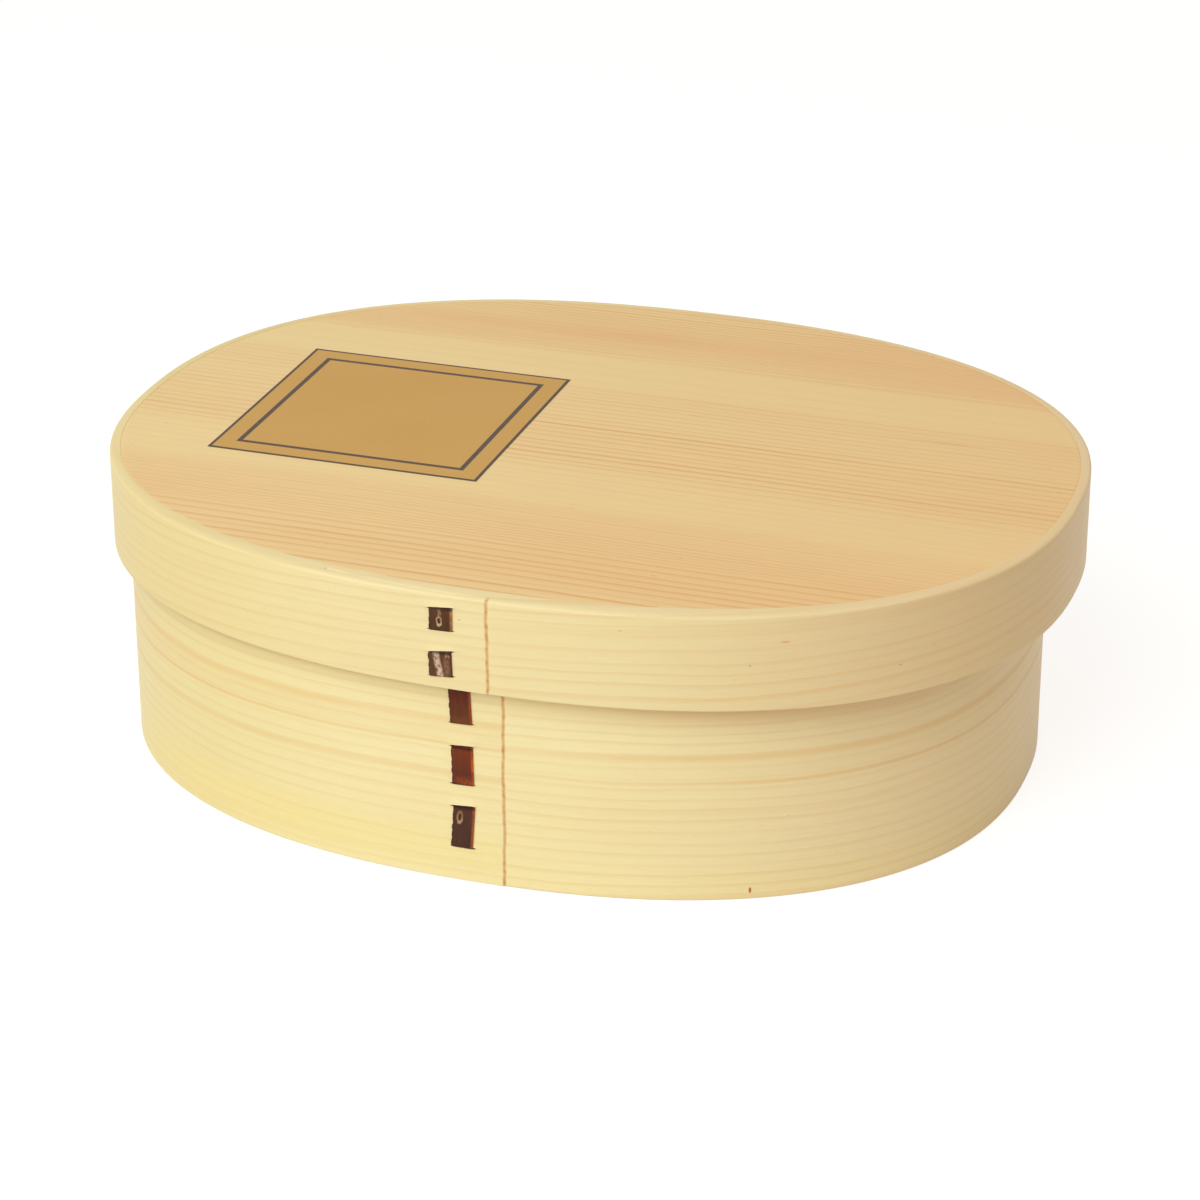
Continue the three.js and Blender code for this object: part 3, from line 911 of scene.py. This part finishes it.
def board_wood(name):
    """Softwood with bands of differing grain across the board, from the near edge to the far one."""
    material = bpy.data.materials.new(name)
    wood = Finish(material)
    along, across, up = wood.place()
    sway = wood.cloud(along * 0.009, across * 0.02, 41) - 0.5
    ripple = wood.cloud(along * 0.05, across * 0.22, 44) - 0.5
    level = across + 0.012 * along + 0.3 * (up - BANDS_HEIGHT) + 3.2 * sway + 0.7 * ripple
    share = (level + BOARD_REACH) / (2 * BOARD_REACH)

    def by_band(bands):
        return wood.ramp(share, [((y + BOARD_REACH) / (2 * BOARD_REACH), value) for y, value in bands])

    # Years counted from the near edge, as shares of them all: the ramp's slope sets how close the lines lie
    counted = [
        (-72, 0), (-66, 2.5), (-46, 11.5), (-30, 26.5), (-27, 28), (-12, 34.5), (8, 44.5), (25, 54),
        (42, 58), (63, 78), (72, BOARD_YEARS),
    ]
    rings = by_band([(y, count / BOARD_YEARS) for y, count in counted]) * BOARD_YEARS
    uneven = rings + 0.9 * (wood.drift(rings * 0.31 + 7) - 0.5)
    lines = year_rings(wood, along, uneven, 0.5)
    clear = by_band([
        (-72, 1.0), (-56, 1.0), (-48, 1.0), (-42, 0.75), (-32, 0.6), (-28, 0.2), (-17, 0.2), (-13, 0.6),
        (-9, 1.0), (7, 1.0), (11, 0.55), (24, 0.55), (28, 0.15), (40, 0.2), (44, 0.7), (60, 0.8),
    ])
    rosy = by_band([
        (-70, 0.35), (-55, 0.75), (-47, 0.9), (-32, 0.6), (-27, 0.2), (-16, 0.15), (-8, 0.5), (4, 0.55),
        (12, 0.4), (24, 0.45), (28, 0.08), (40, 0.12), (44, 0.65), (52, 0.9), (62, 0.6), (70, 0.5),
    ])
    patches = wood.cloud(along * 0.012, level * 0.04, 47).rise(0.25, 0.75)
    rosy = rosy * (0.5 + 0.5 * patches) + 0.4 * along.rise(-60, 90)
    tint = wood.blend(rosy, colour(246, 222, 162), colour(240, 200, 142))
    clear = clear * (0.6 + 0.26 * along.rise(-75, -5) - 0.22 * along.rise(25, 80))
    tint = wood.blend(lines * clear, tint, colour(221, 161, 96))
    red = level.mound(52.5, 5) * (0.6 + 0.4 * patches) * along.mound(-15, 60)
    tint = wood.blend(red * 0.3, tint, colour(234, 178, 120))
    dash = level.mound(20, 0.7) * along.mound(60, 11)
    tint = wood.blend(dash * 0.4, tint, colour(220, 162, 92))
    fibres = wood_fibres(wood, along, up, across)
    tint = wood.shade(tint, 0.925 + 0.15 * fibres)
    specks = wood.cloud(along * 0.5, across * 1.6, 50, 0).rise(0.84, 0.9)
    tint = wood.blend(specks * 0.25, tint, colour(170, 112, 66))
    sheen = {"Specular IOR Level": 0.3}
    wood.surface(tint, 0.5 + 0.12 * fibres - 0.06 * lines, 0.7 * fibres - 0.3 * lines, 0.04, sheen)
    return material


top_head = lid_head - BOARD_RECESS
set_down(
    oval_board(lid_outline, top_foot, top_head),
    "lid_top", "lid_board", "lid", board_wood("lid board wood"),
)


# Lid stitches
# The lid's own strip of cherry bark, sewn in the same way. Its lower stitch crosses a pale, split patch of
# the bark, and its upper one has a small scar.

LID_STITCH_SHIFTS = [-0.05, -0.22, 0.05, 0.06]

lid_bark = cherry_bark(
    "lid bark", "lid_bark_lacing",
    stitches=[
        (38.9, 43.7, (96, 62, 42), (92, 60, 40), (84, 52, 34), 0.8),
        (47.6, 51.7, (80, 52, 30), (90, 58, 34), (190, 128, 82), 1.0),
    ],
    rings=[(-0.23, 49.4, 0.42, 0.8, (214, 184, 142))],
    streaks=[
        (38.7, 44.5, -0.36, -0.16, 0.8, 1.0, (220, 188, 158)),
        (38.7, 43.2, 1.15, 0, 0.75, 0.85, (142, 100, 74)),
        (42.7, 44, 1.35, 0, 0.5, 0.9, (206, 164, 120)),
        (50, 52, -0.2, 0.03, 0.4, 0.85, (176, 132, 100)),
    ],
    seed=23,
)
lid_face = corners("lid_band")[0].y
set_down(
    bark_lacing("lid_bark_lacing", lid_face, LID_WALL, lid_slits, LID_STITCH_SHIFTS, seed=2.2),
    "lid_stitches", "lid_bark_lacing", "lid", lid_bark,
)


# Label
# A square of kraft paper stuck on the lid's board, its corners lifting a little. It is printed with a thin
# line at its edge and a heavier square line inside it, and its middle is left bare.

LABEL_PAPER = 0.06
LABEL_GLUE = 0.01
LABEL_STEPS = 24
CORNER_FROM = 0.82
CORNER_REACH = 0.18
CORNER_LIFT = 0.03
EDGE_LINE = 0.58
EDGE_BLUR = 0.06
FRAME_INSET = 4.33
FRAME_LINE = 0.94
FRAME_BLUR = 0.07


def paper_label(node):
    """A thin square sheet that lies on the lid's board."""
    low, high = corners(node)
    middle = (low + high) / 2
    sheet = bmesh.new()
    bmesh.ops.create_grid(sheet, x_segments=LABEL_STEPS, y_segments=LABEL_STEPS, size=0.5)
    bmesh.ops.scale(sheet, vec=(high.x - low.x, high.y - low.y, 1), verts=sheet.verts)
    bmesh.ops.translate(sheet, vec=(middle.x, middle.y, top_head + LABEL_GLUE), verts=sheet.verts)
    grown = bmesh.ops.extrude_face_region(sheet, geom=list(sheet.faces))["geom"]
    upper = [item for item in grown if isinstance(item, bmesh.types.BMVert)]
    bmesh.ops.translate(sheet, vec=(0, 0, LABEL_PAPER), verts=upper)
    for vert in sheet.verts:
        off_x, off_y = abs(vert.co.x - middle.x), abs(vert.co.y - middle.y)
        corner = max(0, (off_x + off_y) / (high.x - low.x) - CORNER_FROM) / CORNER_REACH
        vert.co.z += CORNER_LIFT * corner ** 2
    bmesh.ops.recalc_face_normals(sheet, faces=sheet.faces)
    return sheet


def printed_kraft(name, node):
    """Brown paper with short hairs in its pulp, and dark ink on its two square lines."""
    low, high = corners(node)
    material = bpy.data.materials.new(name)
    paper = Finish(material)
    x, y, _ = paper.place()
    from_x = (high.x - low.x) / 2 - (x - (low.x + high.x) / 2).size()
    from_y = (high.y - low.y) / 2 - (y - (low.y + high.y) / 2).size()
    inset = paper.node("ShaderNodeMath", {"operation": "MINIMUM"}, {0: from_x, 1: from_y})
    pulp = paper.cloud(x * 1.4, y * 1.4, 3.0, 4)
    hairs = paper.cloud(x * 0.7 + 2 * pulp, y * 5, 8.0, 2).rise(0.6, 0.75)
    clouding = paper.cloud(x * 0.06, y * 0.06, 5.0, 2)
    tint = paper.blend(clouding.rise(0.2, 0.8), colour(211, 169, 98), colour(209, 166, 94))
    tint = paper.shade(tint, 0.95 + 0.1 * pulp)
    tint = paper.blend(hairs * 0.12, tint, colour(150, 108, 56))
    ragged = 0.06 * (pulp - 0.5)
    edge_line = 1 - (inset + ragged).rise(EDGE_LINE - EDGE_BLUR, EDGE_LINE + EDGE_BLUR)
    frame_line = (inset - FRAME_INSET + ragged).size()
    frame_line = 1 - frame_line.rise(FRAME_LINE / 2 - FRAME_BLUR, FRAME_LINE / 2 + FRAME_BLUR)
    ink = edge_line.most(frame_line)
    tint = paper.blend(ink * (0.88 + 0.12 * pulp), tint, colour(66, 54, 52))
    roughness = 0.55 + 0.15 * pulp - 0.12 * ink
    paper.surface(tint, roughness, pulp + 0.3 * hairs, 0.02, {"Specular IOR Level": 0.2})
    return material


kraft = printed_kraft("kraft paper", "lid_label")
set_down(paper_label("lid_label"), "label", "lid_label", "lid", kraft)


# Floor
# A sheet of white studio paper 12 m wide, on which the box stands; from here on, lengths are metres. To
# the camera and in reflections it is a white glow over a dim ground, so that it runs into the white studio
# and still holds the box's shadow.

FLOOR_SIZE = 12
FLOOR_DROP = 0.0001
PAPER_TINT = (0.84, 0.84, 0.84, 1)
DIM_TINT = (0.32, 0.32, 0.32, 1)
GLOW_STRENGTH = 0.82
WHITE = (1, 1, 1, 1)


def looked_at(finish):
    """1 where the camera sees a thing straight, in a reflection or through something clear."""
    straight, reflected, through = [
        finish.node("ShaderNodeLightPath", {}, {}, kind)
        for kind in ("Is Camera Ray", "Is Glossy Ray", "Is Transmission Ray")
    ]
    return straight.most(reflected).most(through)


floor_mesh = bmesh.new()
bmesh.ops.create_grid(floor_mesh, x_segments=4, y_segments=4, size=FLOOR_SIZE / 2)
bmesh.ops.translate(floor_mesh, vec=(0, 0, -FLOOR_DROP), verts=floor_mesh.verts)
floor_data = bpy.data.meshes.new("floor")
floor_mesh.to_mesh(floor_data)
floor_mesh.free()
floor = bpy.data.objects.new("floor", floor_data)
bpy.context.scene.collection.objects.link(floor)

floor_material = bpy.data.materials.new("studio paper")
paper = Finish(floor_material)
plain = paper.node("ShaderNodeBsdfDiffuse", {}, {"Color": PAPER_TINT})
dimmed = paper.node("ShaderNodeBsdfDiffuse", {}, {"Color": DIM_TINT})
glow = paper.node("ShaderNodeEmission", {}, {"Color": WHITE, "Strength": GLOW_STRENGTH})
seen = paper.node("ShaderNodeAddShader", {}, {0: dimmed, 1: glow})
paper.end(paper.node("ShaderNodeMixShader", {}, {0: looked_at(paper), 1: plain, 2: seen}))
floor_data.materials.append(floor_material)


# Studio light
# A round soft box about a metre away at the front left, above the box, and an even, warmer light from all
# round. The studio shows as plain white behind the box.

LAMP_AZIMUTH = math.radians(-16)
LAMP_HEIGHT = math.radians(47)
LAMP_DISTANCE = 1.1
LAMP_SIZE = 0.9
LAMP_COLOUR = (0.9, 0.945, 1.0)
LAMP_STRENGTH = 2.12
ROOM_COLOUR = (1.0, 0.87, 0.71, 1)
ROOM_STRENGTH = 0.455

lamp_data = bpy.data.lights.new("soft box", "AREA")
lamp_data.shape = "DISK"
lamp_data.size = LAMP_SIZE
lamp_data.color = LAMP_COLOUR
lamp_data.energy = LAMP_STRENGTH * math.pi * LAMP_DISTANCE ** 2
lamp = bpy.data.objects.new("soft box", lamp_data)
lamp.visible_camera = False
bpy.context.scene.collection.objects.link(lamp)
to_lamp = Vector((
    math.sin(LAMP_AZIMUTH) * math.cos(LAMP_HEIGHT),
    -math.cos(LAMP_AZIMUTH) * math.cos(LAMP_HEIGHT),
    math.sin(LAMP_HEIGHT),
))
lamp.rotation_euler = to_lamp.to_track_quat("Z", "Y").to_euler()
lamp.location = to_lamp * LAMP_DISTANCE

world = bpy.data.worlds.new("studio")
bpy.context.scene.world = world
room = Finish(world)
lit = room.node("ShaderNodeBackground", {}, {"Color": ROOM_COLOUR, "Strength": ROOM_STRENGTH})
shown = room.node("ShaderNodeBackground", {}, {"Color": WHITE, "Strength": 1.0})
swap = room.node("ShaderNodeMixShader", {}, {0: looked_at(room), 1: lit, 2: shown})
room.end(swap, "ShaderNodeOutputWorld")


# Camera
# It stands where the photograph was taken from, about 0.7 m away in front, to the right and above. Its lens
# is given as a share of the picture's width, from the photograph's 1200 pixels.

CAMERA_PLACE = (0.19830, -0.59244, 0.31229)
CAMERA_AZIMUTH = 0.3223
CAMERA_HEIGHT = 0.4333
SENSOR = 36
FOCAL_SHARE = 3777.2 / 1200

camera_data = bpy.data.cameras.new("camera")
camera_data.sensor_width = SENSOR
camera_data.sensor_fit = "HORIZONTAL"
camera_data.lens = SENSOR * FOCAL_SHARE
camera_data.clip_start = 0.01
camera_data.clip_end = 100
camera = bpy.data.objects.new("camera", camera_data)
bpy.context.scene.collection.objects.link(camera)
away = Vector((
    math.sin(CAMERA_AZIMUTH) * math.cos(CAMERA_HEIGHT),
    -math.cos(CAMERA_AZIMUTH) * math.cos(CAMERA_HEIGHT),
    math.sin(CAMERA_HEIGHT),
))
right_hand = Vector((math.cos(CAMERA_AZIMUTH), math.sin(CAMERA_AZIMUTH), 0))
turned = Matrix((right_hand, away.cross(right_hand), away)).transposed()
camera.matrix_world = Matrix.Translation(CAMERA_PLACE) @ turned.to_4x4()
bpy.context.scene.camera = camera

bpy.context.scene.view_settings.view_transform = "Standard"
